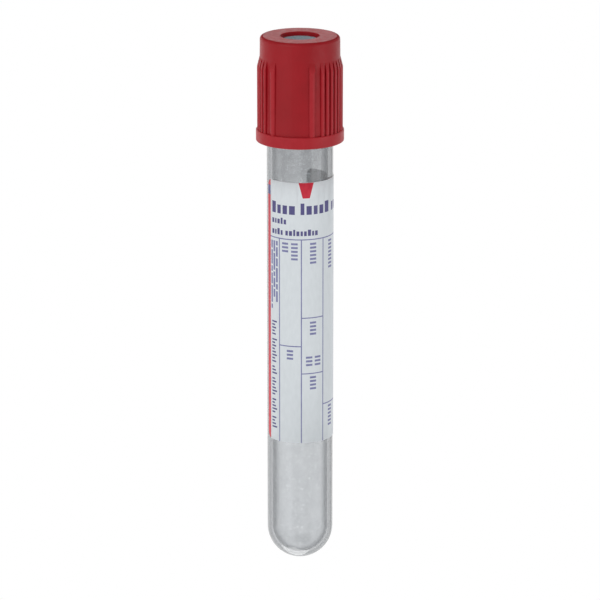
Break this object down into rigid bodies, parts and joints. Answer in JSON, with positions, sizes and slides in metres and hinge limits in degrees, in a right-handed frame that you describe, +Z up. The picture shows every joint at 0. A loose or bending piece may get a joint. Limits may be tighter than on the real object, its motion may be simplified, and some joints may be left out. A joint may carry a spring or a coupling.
{
  "type": "blood collection tube",
  "caption": "Clear plastic tube with a round end and a wrapped write-on label, closed by a rubber stopper in a ribbed red shield with a needle hole in its top.",
  "frame": {"origin": "the middle of the shield's flat top, which the part stands on", "axes": "+Z up, from the shield's top along the tube's axis to its round end; -Y is the front, where the printed label faces"},
  "size_m": [0.0172, 0.0172, 0.1065],
  "materials": {
    "clear_plastic": "clear moulded plastic, glossy",
    "grey_rubber": "matt grey-blue rubber",
    "red_plastic": "satin red moulded plastic",
    "label_stock": "white satin label stock"
  },
  "bodies": {
    "tube_body": {"tube": "clear_plastic", "label": "label_stock"},
    "closure": {"cap": "red_plastic", "stopper": "grey_rubber"}
  },
  "joints": [
    {"name": "closure_pull", "type": "slide", "parent": "closure", "child": "tube_body", "axis": [0, 0, 1], "range_m": [0, 0.03]}
  ]
}
